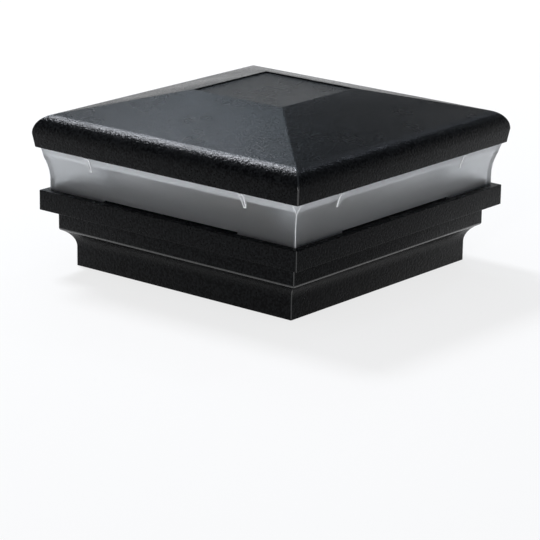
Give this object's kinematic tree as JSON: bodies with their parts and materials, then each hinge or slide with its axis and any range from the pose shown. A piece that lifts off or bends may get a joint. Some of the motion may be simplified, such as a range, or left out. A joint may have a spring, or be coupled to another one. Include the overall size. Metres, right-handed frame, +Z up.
{
  "type": "deck post cap light",
  "caption": "Square lighted deck post cap: stepped cast skirt with post socket, flared frosted lens ring and low pyramid cap, whose head lifts off the skirt.",
  "frame": {"origin": "centre of the skirt's bottom rim, on the plane that the rim lies in", "axes": "+Z up along the post's axis, +Y towards the wire entry, +X to the right seen from the side opposite the wire entry"},
  "size_m": [0.1636, 0.1636, 0.0866],
  "materials": {
    "black_powder_coat": "satin black powder coat with a fine pebbled texture on cast aluminium",
    "frosted_polycarbonate": "frosted translucent moulding",
    "rubber": "moulded black rubber",
    "foam_rubber": "closed-cell foam strip",
    "brass_spacer": "turned brass",
    "extruded_aluminium": "plain mill finish",
    "white_circuit_board": "white solder mask",
    "green_circuit_board": "green solder mask",
    "led_phosphor": "yellow silicone over white housings",
    "tinned_wire": "tinned copper",
    "plated_screw": "zinc plated",
    "moulded_case": "dark grey moulded housing",
    "ivory_plastic": "ivory moulding",
    "white_enamelled_sheet": "white enamelled sheet",
    "lead_red": "red insulation",
    "lead_black": "black insulation"
  },
  "bodies": {
    "skirt": {"base_skirt": "black_powder_coat", "wire_grommet": "rubber", "column_bushes": "rubber", "frame_standoffs": "brass_spacer", "led_frame": "extruded_aluminium", "frame_screws": "plated_screw", "led_board_front": "white_circuit_board", "led_board_right": "white_circuit_board", "led_board_back": "white_circuit_board", "led_board_left": "white_circuit_board", "led_packages": "led_phosphor", "board_screws": "plated_screw", "board_links": "tinned_wire", "driver_case": "moulded_case", "driver_board": "green_circuit_board", "driver_lid": "moulded_case", "driver_screws": "plated_screw", "terminal_block": "ivory_plastic", "terminal_screws": "plated_screw", "block_screw": "plated_screw", "input_lead_positive": "lead_red", "input_lead_negative": "lead_black", "output_lead_positive": "lead_red", "output_lead_negative": "lead_black"},
    "head": {"cap": "black_powder_coat", "lens": "frosted_polycarbonate", "lens_seal": "foam_rubber", "reflector_tray": "white_enamelled_sheet", "tray_screws": "plated_screw", "head_columns": "extruded_aluminium"}
  },
  "joints": [
    {"name": "head_lift", "type": "slide", "parent": "skirt", "child": "head", "axis": [0, 0, 1], "range_m": [0, 0.06]}
  ]
}
